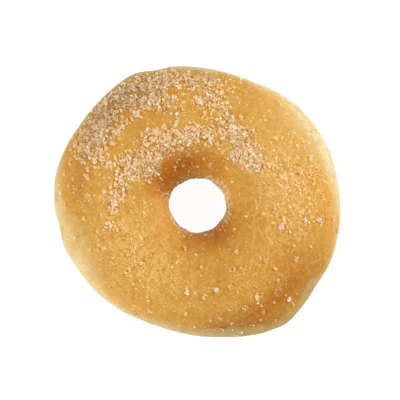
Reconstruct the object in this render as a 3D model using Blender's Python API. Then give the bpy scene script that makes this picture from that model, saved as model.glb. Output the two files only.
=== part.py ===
"""A sugared mini ring doughnut: one fried dough ring with its largest sugar crystals stuck to the crust.

The ring lies flat on its underside at z = 0, centred on the Z axis, with the browned, most
sugared side up. Bearings run round the ring from +X towards +Y. Turns run round the tube of
dough, from 0 at the outside, over the top at a quarter turn, to the hole at half a turn.
"""

import math
import random

import bmesh
import bpy
from mathutils import Euler, Matrix, Vector

MM = 0.001

# Driving dimensions of the dough ring
RING_RADIUS = 30.0 * MM  # mean, at the widest line of the pale band
HOLE_RADIUS = 5.9 * MM  # mean, at the narrowest line of the hole
HOLE_OFFSET = Vector((-0.34, -0.60, 0.0)) * MM  # the hole sits a little off the ring's middle
TOP_RISE = 10.9 * MM  # from the widest line up to the crest
UNDER_DROP = 10.1 * MM  # from the widest line down to the table

# Waves of the two outlines seen from above: lobes round the ring, rise, bearing of a crest in degrees
RING_WAVES = ((2, 1.30 * MM, -25), (3, 0.30 * MM, 66), (4, 0.43 * MM, 28), (5, 0.17 * MM, 29),
              (6, 0.20 * MM, -7), (8, 0.09 * MM, -11), (10, 0.08 * MM, 14))
HOLE_WAVES = ((2, 0.16 * MM, -9), (3, 0.06 * MM, 39), (4, 0.08 * MM, -13), (9, 0.06 * MM, -15))

# Local knocks in the ring's outline: bearing and reach in degrees, rise
KNOCKS = ((118, 5, 0.25 * MM), (108, 4, -0.35 * MM), (190, 5, -0.42 * MM), (199, 5, 0.25 * MM),
          (306, 6, 0.25 * MM), (324, 6, -0.25 * MM), (171, 6, 0.10 * MM))

# Section of the tube: the outer shoulder is fuller than the slope into the hole
SHOULDER_SQUARENESS = 2.25
SLOPE_SQUARENESS = 2.0
UNDER_SETTLE = 0.85 * MM  # how far the soft underside is pressed flat by the table

# Pale band: the undercooked line round the widest part, which bulges out past the browned crust
BAND_EDGE = math.radians(20)
BAND_FADE = math.radians(6)
BAND_LIP = 0.50 * MM
# Where the lip stands out further: bearing and reach in degrees, rise
LIP_SWELLS = ((100, 20, 0.45 * MM), (285, 30, 0.70 * MM), (318, 16, 0.45 * MM), (225, 28, -0.30 * MM),
              (40, 25, -0.30 * MM))

# Wide lumps left by proving: lobes round the ring, folds over the tube, rise, phase in degrees
LUMPS = ((2, 1, 0.22 * MM, 30), (3, 1, 0.18 * MM, 200), (5, 1, 0.14 * MM, 80), (4, 2, 0.18 * MM, 150),
         (7, 2, 0.12 * MM, 10), (6, 3, 0.12 * MM, 260), (9, 3, 0.10 * MM, 120), (13, 4, 0.07 * MM, 50))
# Each dent: bearing in degrees, radius, half length along the ring, half width, depth
DENTS = ((118, 19.5 * MM, 4.5 * MM, 1.8 * MM, 0.35 * MM),
         (97, 18.6 * MM, 4.0 * MM, 1.8 * MM, 0.25 * MM),
         (141, 20.3 * MM, 3.0 * MM, 1.6 * MM, 0.30 * MM),
         (312, 21.5 * MM, 6.0 * MM, 4.0 * MM, 0.45 * MM),
         (228, 17.0 * MM, 7.0 * MM, 3.5 * MM, 0.35 * MM))

# Mesh of the ring
RING_STEPS = 80
TUBE_STEPS = 34
OUTSIDE_CROWDING = 0.34  # draws the loops of the tube together round the pale band

# Sugar: thick patches and bare ones, as bearing in degrees, radius, half length, half width, cover
SUGAR_PATCHES = ((100, 24.5 * MM, 6.0 * MM, 3.2 * MM, 0.80), (128, 25.5 * MM, 8.0 * MM, 3.4 * MM, 1.00),
                 (156, 22.0 * MM, 5.0 * MM, 3.0 * MM, 0.75), (48, 16.0 * MM, 5.0 * MM, 2.8 * MM, 0.90),
                 (78, 18.0 * MM, 5.0 * MM, 4.0 * MM, 0.75), (105, 15.0 * MM, 5.0 * MM, 2.5 * MM, 0.85),
                 (138, 15.5 * MM, 5.5 * MM, 3.0 * MM, 0.90), (170, 17.8 * MM, 6.0 * MM, 2.6 * MM, 0.80),
                 (15, 20.5 * MM, 7.0 * MM, 4.5 * MM, 0.40), (118, 19.4 * MM, 3.6 * MM, 1.5 * MM, -0.90),
                 (97, 18.6 * MM, 3.2 * MM, 1.4 * MM, -0.70), (141, 20.4 * MM, 2.4 * MM, 1.3 * MM, -0.80))
SUGAR_BASE = 0.12  # cover away from the patches
CRYSTAL_COUNT = 225
CRYSTAL_SMALLEST = 0.60 * MM
CRYSTAL_LARGEST = 1.05 * MM
SIDE_SHARE = 0.65  # size of the crystals on the upright sides, against those on the top
CRYSTAL_FLATNESS = 0.62  # least share of its length that a crystal is thick
CRYSTAL_GAP = 1.45 * MM  # least distance between the middles of two crystals
CRYSTAL_PROUD = 0.10  # share of its length that a crystal's middle stands off the crust
TABLE_CLEARANCE = 1.0 * MM  # crystals lower than this would lift the ring off the table
HOLE_BARE_TURN = math.radians(38)  # the wall of the hole keeps no large crystals
# Single large crystals that stand out on the plainer half: bearing in degrees, radius, length
LONE_CRYSTALS = ((313, 27.9 * MM, 1.40 * MM), (302, 23.4 * MM, 1.20 * MM), (282, 18.8 * MM, 1.05 * MM),
                 (263, 19.0 * MM, 1.10 * MM), (344, 18.0 * MM, 1.25 * MM), (352, 25.6 * MM, 1.25 * MM),
                 (351, 22.6 * MM, 1.05 * MM), (330, 23.6 * MM, 1.00 * MM), (192, 19.6 * MM, 1.25 * MM))
SEED = 11

CRUST_COLOUR = (0.68, 0.36, 0.085, 1.0)
CRUST_ROUGHNESS = 0.52


def degrees_apart(bearing, other):
    """The signed angle in degrees from one bearing in degrees to another."""
    return (bearing - other + 180.0) % 360.0 - 180.0


def smooth_step(value, low, high):
    """Rises smoothly from 0 at low to 1 at high."""
    share = min(1.0, max(0.0, (value - low) / (high - low)))
    return share * share * (3.0 - 2.0 * share)


def waves(bearing, rows):
    """The rise of a few waves round the ring at a bearing in radians."""
    return sum(rise * math.cos(lobes * (bearing - math.radians(peak))) for lobes, rise, peak in rows)


def swells(bearing, rows):
    """The rise of local swells at a bearing in radians."""
    here = math.degrees(bearing)
    return sum(rise * math.exp(-((degrees_apart(here, at) / reach) ** 2)) for at, reach, rise in rows)


def lumps(bearing, turn):
    """The rise of the wide lumps, which die away at the ring's widest and the hole's narrowest line."""
    return sum(rise * math.cos(lobes * bearing + math.radians(phase)) * math.sin(folds * turn)
               for lobes, folds, rise, phase in LUMPS)


def patch_value(x, y, rows):
    """The sum of soft oval patches, laid along the ring, at a place seen from above."""
    bearing = math.degrees(math.atan2(y, x))
    radius = math.hypot(x, y)
    total = 0.0
    for at, middle, half_length, half_width, strength in rows:
        along = math.radians(degrees_apart(bearing, at)) * middle / half_length
        across = (radius - middle) / half_width
        total += strength * math.exp(-(along * along + across * across))
    return total


def outside_point(bearing):
    """The widest point of the ring at a bearing."""
    radius = RING_RADIUS + waves(bearing, RING_WAVES) + swells(bearing, KNOCKS)
    return Vector((math.cos(bearing), math.sin(bearing), 0.0)) * radius


def hole_point(bearing):
    """The narrowest point of the hole at a bearing."""
    radius = HOLE_RADIUS + waves(bearing, HOLE_WAVES)
    return HOLE_OFFSET + Vector((math.cos(bearing), math.sin(bearing), 0.0)) * radius


def tube_section(turn, half_width, lip):
    """How far out from the tube's middle, and how high above the widest line, the crust is at a turn."""
    outwards, upwards = math.cos(turn), math.sin(turn)
    squareness = SHOULDER_SQUARENESS if outwards > 0 else SLOPE_SQUARENESS
    power = 2.0 / squareness
    out = math.copysign(abs(outwards) ** power, outwards) * half_width
    rise = TOP_RISE if upwards > 0 else UNDER_DROP + UNDER_SETTLE
    height = math.copysign(abs(upwards) ** power, upwards) * rise
    if outwards > 0:
        out -= lip * outwards * smooth_step(abs(turn), BAND_EDGE - BAND_FADE, BAND_EDGE + BAND_FADE)
    return out, height


def smooth_crust_point(bearing, turn):
    """A point of the ring before its lumps and dents, measured from the widest line's height."""
    outside, hole = outside_point(bearing), hole_point(bearing)
    middle, half = (outside + hole) / 2, (outside - hole) / 2
    lip = BAND_LIP + swells(bearing, LIP_SWELLS)
    out, height = tube_section(turn, half.length, lip)
    return middle + half.normalized() * out + Vector((0.0, 0.0, height))


def crust_point(bearing, turn):
    """A point of the finished crust, with its underside pressed flat at z = 0."""
    point = smooth_crust_point(bearing, turn)
    flat_outward = Vector((math.cos(bearing), math.sin(bearing), 0.0))
    outward = flat_outward * math.cos(turn) + Vector((0.0, 0.0, math.sin(turn)))
    point += outward * lumps(bearing, turn)
    top_share = smooth_step(math.sin(turn), 0.2, 0.8)
    point.z += UNDER_DROP - top_share * patch_value(point.x, point.y, DENTS)
    point.z = max(0.0, point.z)
    return point


def crust_frame(bearing, turn):
    """The crust's point and its outward normal at a bearing and a turn."""
    step = 0.01
    point = crust_point(bearing, turn)
    along = crust_point(bearing + step, turn) - point
    over = crust_point(bearing, turn + step) - point
    return point, along.cross(over).normalized()


def sugar_cover(point):
    """How thickly sugar lies on the crust at a point, from 0 to 1."""
    return min(1.0, max(0.0, SUGAR_BASE + patch_value(point.x, point.y, SUGAR_PATCHES)))


def turn_on_top(bearing, radius):
    """The turn, on the top of the ring, whose crust point lies at a distance from the ring's middle."""
    low, high = 0.0, math.pi
    for _ in range(30):
        turn = (low + high) / 2
        reach = crust_point(bearing, turn).to_2d().length
        low, high = (turn, high) if reach > radius else (low, turn)
    return turn


def crystal_places(draw):
    """Point, normal and length of the largest crystals: the lone ones, then the rest by the sugar's cover."""
    places = []
    for bearing, radius, length in LONE_CRYSTALS:
        bearing = math.radians(bearing)
        places.append((*crust_frame(bearing, turn_on_top(bearing, radius)), length))
    while len(places) < CRYSTAL_COUNT:
        bearing, turn = draw.uniform(0, math.tau), draw.uniform(-math.pi, math.pi)
        point, normal = crust_frame(bearing, turn)
        share_of_area = point.to_2d().length / RING_RADIUS
        if draw.random() > share_of_area * sugar_cover(point):
            continue
        in_hole = abs(turn) > math.pi - HOLE_BARE_TURN
        crowded = min((point - other).length for other, _, _ in places) < CRYSTAL_GAP
        if in_hole or crowded or point.z < TABLE_CLEARANCE:
            continue
        share = SIDE_SHARE + (1.0 - SIDE_SHARE) * smooth_step(abs(normal.z), 0.1, 0.6)
        places.append((point, normal, share * draw.uniform(CRYSTAL_SMALLEST, CRYSTAL_LARGEST)))
    return places


def new_collection(name):
    collection = bpy.data.collections.new(name)
    bpy.context.scene.collection.children.link(collection)
    return collection


def make_crust_material():
    material = bpy.data.materials.new("fried_crust")
    material.use_nodes = True
    shader = material.node_tree.nodes["Principled BSDF"]
    shader.inputs["Base Color"].default_value = CRUST_COLOUR
    shader.inputs["Roughness"].default_value = CRUST_ROUGHNESS
    shader.inputs["Metallic"].default_value = 0.0
    return material


def make_dough_ring(collection):
    """The dough ring: a torus whose points are moved to the crust at the same bearing and turn."""
    bpy.ops.mesh.primitive_torus_add(major_segments=RING_STEPS, minor_segments=TUBE_STEPS,
                                     major_radius=2.0, minor_radius=1.0)
    ring = bpy.context.active_object
    ring.name = ring.data.name = "doughnut"
    for vertex in ring.data.vertices:
        x, y, z = vertex.co
        bearing = math.atan2(y, x)
        turn = math.atan2(z, math.hypot(x, y) - 2.0)
        vertex.co = crust_point(bearing, turn - OUTSIDE_CROWDING * math.sin(turn))
    for owner in ring.users_collection:
        owner.objects.unlink(ring)
    collection.objects.link(ring)
    ring.data.materials.append(make_crust_material())
    return ring


def make_crystal(collection, number, place, draw):
    """A blocky sugar crystal, turned at random and sunk a little less than half into the crust."""
    point, normal, length = place
    sides = [length] + [length * draw.uniform(CRYSTAL_FLATNESS, 1.0) for _ in range(2)]
    tumble = Euler([draw.uniform(0, math.tau) for _ in range(3)]).to_matrix().to_4x4()
    mesh = bpy.data.meshes.new(f"crystal_{number}")
    shape = bmesh.new()
    bmesh.ops.create_cube(shape, size=1.0, matrix=tumble @ Matrix.Diagonal((*sides, 1.0)))
    shape.to_mesh(mesh)
    shape.free()
    crystal = bpy.data.objects.new(mesh.name, mesh)
    crystal.location = point + normal * length * CRYSTAL_PROUD
    collection.objects.link(crystal)


def fuse(ring, collection):
    """Joins everything in a collection to the ring, and removes what was joined."""
    union = ring.modifiers.new("sugar", "BOOLEAN")
    union.operation = "UNION"
    union.operand_type = "COLLECTION"
    union.collection = collection
    bpy.context.view_layer.objects.active = ring
    bpy.ops.object.modifier_apply(modifier=union.name)
    for crystal in list(collection.objects):
        bpy.data.objects.remove(crystal)
    bpy.data.collections.remove(collection)


def outline_middle():
    """The middle of the box round the ring's outline seen from above."""
    outline = [outside_point(math.radians(bearing)) for bearing in range(360)]
    reaches = [[point[axis] for point in outline] for axis in range(3)]
    return Vector([(min(reach) + max(reach)) / 2 for reach in reaches])


def main():
    for old in list(bpy.data.objects):
        bpy.data.objects.remove(old)
    draw = random.Random(SEED)
    ring = make_dough_ring(new_collection("mini_doughnut"))
    sugar = new_collection("sugar_crystals")
    for number, place in enumerate(crystal_places(draw)):
        make_crystal(sugar, number, place, draw)
    fuse(ring, sugar)
    ring.data.transform(Matrix.Translation(-outline_middle()))
    ring.data.shade_smooth()
    ring.data.set_sharp_from_angle(angle=math.radians(40))


main()
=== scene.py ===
"""Dresses the sugared mini ring doughnut for its picture.

Geometry Nodes move a torus to the same ring rule as the solid, which gives the browned crust, and
scatter sugar over it, from coarse crystals down to dust. Bearings run round the ring from +X towards
+Y. Turns run round the tube of dough: 0 at the outside, a quarter turn on top, half a turn at the
hole. Until the pieces are finished, the ring's middle is at the origin.
"""

import math
import random

import bpy
from mathutils import Matrix, Vector


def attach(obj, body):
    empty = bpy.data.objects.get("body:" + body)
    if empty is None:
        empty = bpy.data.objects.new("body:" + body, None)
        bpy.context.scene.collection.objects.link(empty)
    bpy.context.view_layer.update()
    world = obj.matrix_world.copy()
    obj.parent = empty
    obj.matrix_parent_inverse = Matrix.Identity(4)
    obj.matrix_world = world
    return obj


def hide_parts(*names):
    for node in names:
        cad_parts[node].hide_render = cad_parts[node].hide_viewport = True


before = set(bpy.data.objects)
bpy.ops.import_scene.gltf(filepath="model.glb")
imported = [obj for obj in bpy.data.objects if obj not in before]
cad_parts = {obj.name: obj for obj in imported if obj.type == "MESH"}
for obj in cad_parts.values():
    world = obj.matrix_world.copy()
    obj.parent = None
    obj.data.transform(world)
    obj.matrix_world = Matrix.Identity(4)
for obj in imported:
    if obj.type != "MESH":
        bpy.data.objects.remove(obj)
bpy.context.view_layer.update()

MM = 0.001


def patches(*rows):
    """Soft oval patches, given as bearing in degrees, then radius, half length along the ring and half
    width in millimetres, then strength."""
    return tuple((at, middle * MM, half_length * MM, half_width * MM, strength)
                 for at, middle, half_length, half_width, strength in rows)


def turn_swells(*rows):
    """Local swells of a turn, each given in degrees: bearing, reach, change of turn."""
    return tuple((at, reach, math.radians(change)) for at, reach, change in rows)


# Sizes of the dough ring, which are the named inputs of its tree
RING_SIZES = {
    "Ring radius": 30.0 * MM, "Hole radius": 5.9 * MM, "Top rise": 10.9 * MM, "Under drop": 10.1 * MM,
    "Under settle": 0.85 * MM, "Shoulder squareness": 2.25, "Slope squareness": 2.0,
    "Band edge": math.radians(20), "Band fade": math.radians(6), "Band lip": 0.50 * MM,
    "Wrinkle height": 0.16 * MM, "Wrinkle spacing": 3.2 * MM,
    "Pimple height": 0.07 * MM, "Pimple spacing": 1.3 * MM,
    "Ridge height": 0.12 * MM, "Ridge spacing": 1.7 * MM,
    "Pore height": 0.10 * MM, "Pore spacing": 1.1 * MM,
    "Crumb height": 0.42 * MM, "Crumb spacing": 0.8 * MM,
}
HOLE_OFFSET = Vector((-0.34, -0.60)) * MM

# Waves of the two outlines seen from above: lobes round the ring, rise, bearing of a crest in degrees
RING_WAVES = ((2, 1.30 * MM, -25), (3, 0.30 * MM, 66), (4, 0.43 * MM, 28), (5, 0.17 * MM, 29),
              (6, 0.20 * MM, -7), (8, 0.09 * MM, -11), (10, 0.08 * MM, 14))
HOLE_WAVES = ((2, 0.16 * MM, -9), (3, 0.06 * MM, 39), (4, 0.08 * MM, -13), (9, 0.06 * MM, -15))
# Local knocks in the outline, and swells of the band's lip: bearing and reach in degrees, rise
KNOCKS = ((118, 5, 0.25 * MM), (108, 4, -0.35 * MM), (190, 5, -0.42 * MM), (199, 5, 0.25 * MM),
          (306, 6, 0.25 * MM), (324, 6, -0.25 * MM), (171, 6, 0.10 * MM))
LIP_SWELLS = ((100, 20, 0.45 * MM), (285, 30, 0.70 * MM), (318, 16, 0.45 * MM), (225, 28, -0.30 * MM),
              (40, 25, -0.30 * MM))
# Wide lumps left by proving: lobes round the ring, folds over the tube, rise, phase in degrees
LUMPS = ((2, 1, 0.22 * MM, 30), (3, 1, 0.18 * MM, 200), (5, 1, 0.14 * MM, 80), (4, 2, 0.18 * MM, 150),
         (7, 2, 0.12 * MM, 10), (6, 3, 0.12 * MM, 260), (9, 3, 0.10 * MM, 120), (13, 4, 0.07 * MM, 50))
# Dents in the top: bearing in degrees, radius, half length along the ring, half width, depth
DENTS = ((118, 19.5 * MM, 4.5 * MM, 1.8 * MM, 0.35 * MM),
         (97, 18.6 * MM, 4.0 * MM, 1.8 * MM, 0.25 * MM),
         (141, 20.3 * MM, 3.0 * MM, 1.6 * MM, 0.30 * MM),
         (312, 21.5 * MM, 6.0 * MM, 4.0 * MM, 0.45 * MM),
         (228, 17.0 * MM, 7.0 * MM, 3.5 * MM, 0.35 * MM))
# The dents set in between these sines of the turn
DENT_SINES = (0.2, 0.8)

# Mesh of the ring, before each face is halved both ways; its loops are drawn together round the outside
RING_STEPS = 224
TUBE_STEPS = 110
OUTSIDE_CROWDING = 0.34
# The torus that the ring starts from, whose tube has a radius of 1
TORUS_RADIUS = 2.0
# How far apart, in radians, the points are that give the crust's normal
NORMAL_STEP = 0.01
# How often the search for a turn on the top halves its range
HALVINGS = 30

# Coarse crystals, which the solid has fused to it: the same rule and the same random draws. They cover the
# crust by a base amount and patches, shrink on steep sides, and stay out of the hole.
COARSE_PATCHES = patches(
    (100, 24.5, 6.0, 3.2, 0.80), (128, 25.5, 8.0, 3.4, 1.00), (156, 22.0, 5.0, 3.0, 0.75),
    (48, 16.0, 5.0, 2.8, 0.90), (78, 18.0, 5.0, 4.0, 0.75), (105, 15.0, 5.0, 2.5, 0.85),
    (138, 15.5, 5.5, 3.0, 0.90), (170, 17.8, 6.0, 2.6, 0.80), (15, 20.5, 7.0, 4.5, 0.40),
    (118, 19.4, 3.6, 1.5, -0.90), (97, 18.6, 3.2, 1.4, -0.70), (141, 20.4, 2.4, 1.3, -0.80))
COARSE_BASE = 0.12
COARSE_COUNT = 225
COARSE_SMALLEST = 0.60 * MM
COARSE_LARGEST = 1.05 * MM
SIDE_SHARE = 0.65
CRYSTAL_FLATNESS = 0.62
CRYSTAL_GAP = 1.45 * MM
CRYSTAL_PROUD = 0.10
TABLE_CLEARANCE = 1.0 * MM
HOLE_BARE_TURN = math.radians(38)
# Upward shares of the normal between which a place counts as side, then as top
SIDE_TO_TOP = (0.1, 0.6)
SIDE_TO_TOP_TINT = (0.25, 0.7)
LONE_CRYSTALS = ((313, 27.9 * MM, 1.40 * MM), (302, 23.4 * MM, 1.20 * MM), (282, 18.8 * MM, 1.05 * MM),
                 (263, 19.0 * MM, 1.10 * MM), (344, 18.0 * MM, 1.25 * MM), (352, 25.6 * MM, 1.25 * MM),
                 (351, 22.6 * MM, 1.05 * MM), (330, 23.6 * MM, 1.00 * MM), (192, 19.6 * MM, 1.25 * MM))
SEED = 11
# From this length on a crystal is dressed as a lone one, as white as where sugar lies this thick
LONE_LENGTH = COARSE_LARGEST - 0.01 * MM
LONE_SUGAR = 0.8

# Where fine sugar lies thick, and the bare spots in it, in the same terms as the coarse patches
FINE_PATCHES = patches(
    (82, 26.0, 3.5, 2.5, 0.22), (96, 26.0, 4.5, 2.4, 0.42), (110, 26.0, 4.5, 3.6, 0.94),
    (124, 27.0, 5.5, 3.8, 0.95), (140, 27.0, 5.5, 3.8, 0.95), (153, 25.0, 4.0, 3.6, 0.72),
    (113, 22.6, 1.5, 1.5, 0.65), (126, 22.8, 1.2, 1.6, 0.50), (139, 22.8, 1.3, 1.5, 0.50),
    (156, 22.0, 2.0, 2.0, 0.50), (85, 22.5, 2.6, 3.6, 0.40), (76, 19.0, 3.2, 2.6, 0.50),
    (62, 16.5, 3.6, 2.4, 0.86), (52, 13.0, 3.0, 2.2, 0.70), (42, 14.5, 3.6, 2.6, 0.72),
    (33, 14.5, 2.2, 1.8, 0.40), (80, 14.5, 3.5, 2.4, 0.55), (97, 14.5, 3.2, 2.4, 0.64),
    (110, 15.0, 3.2, 2.8, 0.68), (126, 15.2, 3.6, 3.1, 0.72), (142, 15.0, 3.6, 3.3, 0.78),
    (156, 16.5, 3.4, 2.2, 0.74), (170, 17.0, 3.2, 2.0, 0.65), (183, 18.4, 3.0, 1.7, 0.50),
    (196, 20.1, 1.8, 0.9, 0.75), (128, 19.6, 6.0, 1.6, 0.30), (77, 22.5, 3.0, 3.5, 0.25),
    (25, 19.0, 6.0, 4.0, 0.17), (8, 20.0, 6.0, 5.0, 0.18), (352, 18.0, 5.0, 4.0, 0.10),
    (20, 24.0, 5.0, 2.5, 0.14), (215, 17.0, 9.0, 4.5, 0.12), (302, 23.4, 0.9, 0.8, 0.80),
    (344, 18.0, 0.8, 1.1, 0.80), (352, 26.0, 0.9, 0.7, 0.80), (313, 28.8, 0.6, 0.6, 0.80),
    (351, 22.6, 0.9, 0.8, 0.50), (330, 23.6, 0.6, 0.6, 0.60), (104, 24.3, 1.0, 0.9, -1.40),
    (119, 20.5, 2.0, 1.7, -0.60), (100, 19.2, 3.6, 1.8, -0.60), (94, 22.0, 1.6, 1.6, -0.20),
    (133, 20.8, 2.0, 1.2, -0.60), (148, 21.0, 1.6, 1.2, -0.60), (130, 24.0, 0.9, 1.2, -1.00),
    (148, 12.2, 1.8, 2.0, 0.60), (110, 11.2, 1.6, 1.0, 0.45), (109, 20.3, 1.4, 1.8, 0.60),
    (92, 20.8, 1.8, 2.6, 0.50), (104, 19.8, 1.3, 2.4, 1.10))

# Where the crust is browner than golden, or lighter, in the same terms: partly real browning, partly painted
# shade (browner round the hole and on the outer slopes near 130° and 290°–315°, which face away from both
# softboxes) and painted light (lighter near 25°–50° and 195°–225°, where the slopes face them)
BROWN_SHADE_AND_LIGHT_PATCHES = patches(
    (315, 26.4, 9.0, 3.4, 0.80), (290, 26.2, 8.0, 2.0, 0.55), (134, 9.0, 6.0, 3.2, 1.00),
    (86, 9.0, 5.0, 2.6, 0.50), (298, 8.5, 6.5, 2.6, 0.65), (130, 27.0, 14.0, 3.6, 0.70),
    (25, 17.5, 9.0, 5.0, -0.45), (172, 25.5, 3.5, 2.0, 0.35), (330, 21.0, 5.0, 3.5, 0.25),
    (225, 26.0, 9.0, 3.6, -0.30), (50, 14.0, 5.0, 4.0, -0.35), (45, 24.5, 9.0, 4.0, -0.40),
    (195, 9.5, 4.0, 3.0, -0.30), (292, 16.0, 6.0, 4.0, 0.42), (121, 20.5, 3.5, 1.8, 0.15))
# How much the browning varies everywhere
BROWN_MOTTLE = 0.5
# Where half-melted sugar glazes the crust, in the same terms
GLAZE_PATCHES = patches(
    (195, 17.0, 10.0, 7.0, 0.95), (232, 18.0, 8.0, 7.0, 0.75), (270, 19.0, 9.0, 5.0, 0.28),
    (300, 18.0, 6.0, 6.0, 0.30), (340, 17.0, 7.0, 6.0, 0.55), (8, 19.0, 8.0, 6.0, 1.00),
    (28, 19.0, 7.0, 6.0, 0.80), (85, 19.0, 7.0, 6.0, 0.50))
# The pale band: half its usual width and its softness, as turns, and local swells of both
PALE_TURN = math.radians(16)
PALE_FADE = math.radians(5)
PALE_SWELLS = turn_swells((355, 14, 3), (20, 22, 14), (38, 22, 23), (201, 23, 38), (276, 18, 8),
                          (250, 14, 8), (304, 14, 5), (323, 5, 8), (90, 14, 3), (135, 24, 5))
SOFT_SWELLS = turn_swells((40, 26, 18), (0, 20, 10), (198, 20, 20), (304, 14, 5), (248, 16, 4))
# Below the widest line the swells lose these shares of their width and softness, and the edge fades more
SWELL_LOSS_BELOW = 0.6
SOFT_LOSS_BELOW = 0.5
EXTRA_FADE_BELOW = math.radians(5)
# How far the band's edges wander, and fray as a share of their softness; the lower edge wanders more,
# about a level of its noise
PALE_WANDER = math.radians(10)
PALE_FRAY = 1.6
LOWER_WANDER = math.radians(22)
LOWER_LEVEL = 0.25
# Where the band is cream, how cream it is all round below a turn, and where it is tan above one, partly
# painted shade under the fold on the bearings that face away from the softboxes: strength by bearing and
# reach in degrees
CREAM_SWELLS = ((15, 48, 0.85), (200, 34, 0.30), (275, 30, 0.35), (100, 34, 0.40))
EDGE_CREAM = 0.45
EDGE_CREAM_TURNS = (math.radians(14), math.radians(30))
TAN_AND_SHADE_SWELLS = ((135, 32, 0.80), (98, 20, 0.30), (297, 32, 0.95), (316, 12, 0.45))
TAN_TURNS = (math.radians(-2), math.radians(12))
# The paler skin inside the hole, partly painted light that offsets the hole's shade, most where it swells
# near bearing 20°: its reach from the waist, its softness, its strength and its swells
HOLE_PALE_TURN = math.radians(8)
HOLE_PALE_FADE = math.radians(6)
HOLE_PALE_STRENGTH = 0.95
HOLE_PALE_AND_LIGHT_SWELLS = turn_swells((20, 42, 20), (205, 30, 6))
# The hole's tint, partly painted light, and its crumbs set in between these turns
HOLE_TURNS = (math.radians(145), math.radians(165))
# The dark, ragged line round the hole's waist, partly painted shade in the hole and partly the darker fried
# crust below
# the waist: its reach and wander, the shares of its reach between which it fades, what is added to them below
# the waist, and its strength by bearing and reach in degrees
RIM_REACH = math.radians(9)
RIM_WANDER = math.radians(14)
RIM_FADE = (0.8, 1.25)
RIM_FADE_BELOW = (1.2, 3.0)
RIM_SWELLS = ((85, 26, 0.60), (145, 36, 0.80), (310, 32, 0.75), (225, 26, 0.60), (0, 24, 0.30))
# Fine sugar sets in between these heights on the top, and between these turns at the hole, where it has a
# least amount, and more by bearing and reach in degrees
SUGAR_HEIGHTS = (11.0 * MM, 14.5 * MM)
HOLE_SUGAR_TURNS = (math.radians(148), math.radians(162))
HOLE_SUGAR = 0.18
HOLE_SUGAR_SWELLS = ((20, 40, 0.75),)
# How thickly it lies between its clots, and how much more in them
SUGAR_BETWEEN_CLOTS = 0.35
SUGAR_IN_CLOTS = 0.85
# Glaze sets in between these heights, and is nowhere on top less than this
GLAZE_HEIGHTS = (9.0 * MM, 13.0 * MM)
LEAST_GLAZE = 0.08
# The darker fold just above the band, painted shade in the crease: its turn, reach and wander, and its
# strength by bearing and reach
FOLD_TURN = math.radians(28)
FOLD_REACH = math.radians(7)
FOLD_WANDER = math.radians(16)
FOLD_SWELLS = ((96, 20, 0.45), (296, 24, 0.62))

# Noise patterns: spacing of the lumps, detail, seed, and for spots the levels between which they set in
PATTERNS = {
    "band wander": (2.6 * MM, 2.0, 3.0), "band fray": (1.2 * MM, 3.0, 24.0),
    "lower edge": (7.0 * MM, 2.0, 25.0), "browning": (7.0 * MM, 2.0, 8.0),
    "fold wander": (4.0 * MM, 2.0, 22.0), "fold blotches": (2.4 * MM, 2.0, 23.0, 0.28, 0.66),
    "rim wander": (0.7 * MM, 2.0, 18.0), "sugar clots": (1.9 * MM, 3.0, 5.0, 0.36, 0.60),
    "glaze drifts": (3.5 * MM, 2.0, 14.0, 0.38, 0.62), "mottle": (1.6 * MM, 3.0, 1.0, 0.35, 0.65),
    "speckles": (0.66 * MM, 1.0, 12.0, 0.52, 0.62), "threads": (1.1 * MM, 1.0, 21.0),
    "pits": (0.8 * MM, 1.0, 17.0, 0.56, 0.68), "clouds": (1.8 * MM, 3.0, 16.0),
    "pores": (0.55 * MM, 2.0, 26.0, 0.54, 0.66), "streaks": (3.2 * MM, 3.0, 27.0, 0.46, 0.68),
    "film clots": (0.5 * MM, 1.0, 2.0, 0.44, 0.58), "crust roughness": (0.8 * MM, 2.0, 4.0),
    "crust grain": (0.45 * MM, 2.0, 6.0), "grain clouds": (0.25 * MM, 2.0, 7.0),
    "grain facets": (0.12 * MM, 2.0, 8.0),
}
NOISE_ROUGHNESS = 0.55
# Noise that gives the glaze its ridges: detail, seed; and half the width of ridges and threads in its levels
RIDGE_NOISE = (1.0, 15.0)
RIDGE_WIDTH = 0.11
THREAD_WIDTH = 0.08
# Relief of the crust: detail and seed of its noise, the level that stays in place, and the gain for all
RELIEF = {"Wrinkle": (3.0, 1.0, 0.5), "Pimple": (1.0, 2.0, 0.5), "Pore": (3.0, 19.0, 0.5),
          "Crumb": (3.0, 20.0, 0.63)}
RELIEF_GAIN = 2.0

# Named inputs of the trees of dry, fine and melted sugar, in that order; amounts are per square metre
LOOSE_SUGAR = {
    "Seed": (21, 22, 23), "Scattered": (0.10e6, 0.14e6, 0.20e6), "In glaze": (0.10e6, 1.70e6, 2.6e6),
    "In patches": (6.6e6, 13.0e6, -1.5e6), "Drift spacing": (0.9 * MM, 1.3 * MM, 2.6 * MM),
    "Least height": (0.6 * MM, 0.5 * MM, 0.8 * MM), "In band": (0.05, 0.05, 0.0),
    "Side share": (0.04, 0.04, 0.0), "Smallest": (0.28 * MM, 0.14 * MM, 0.35 * MM),
    "Largest": (0.68 * MM, 0.32 * MM, 1.00 * MM), "Slimness": (0.62, 0.70, 0.42),
    "Flatness": (0.55, 0.60, 0.22), "Proud": (0.0, -0.04, -0.04), "Tumble": (0.6, 0.8, 0.15),
    "Chip": (0.13 * MM, 0.06 * MM, 0.12 * MM),
}
DRY_SUGAR, FINE_SUGAR, MELTED_SUGAR = (
    {name: each[kind] for name, each in LOOSE_SUGAR.items()} for kind in range(3))
# Levels of noise between which a drift of loose sugar sets in
DRIFT_LEVELS = (0.40, 0.60)
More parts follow.
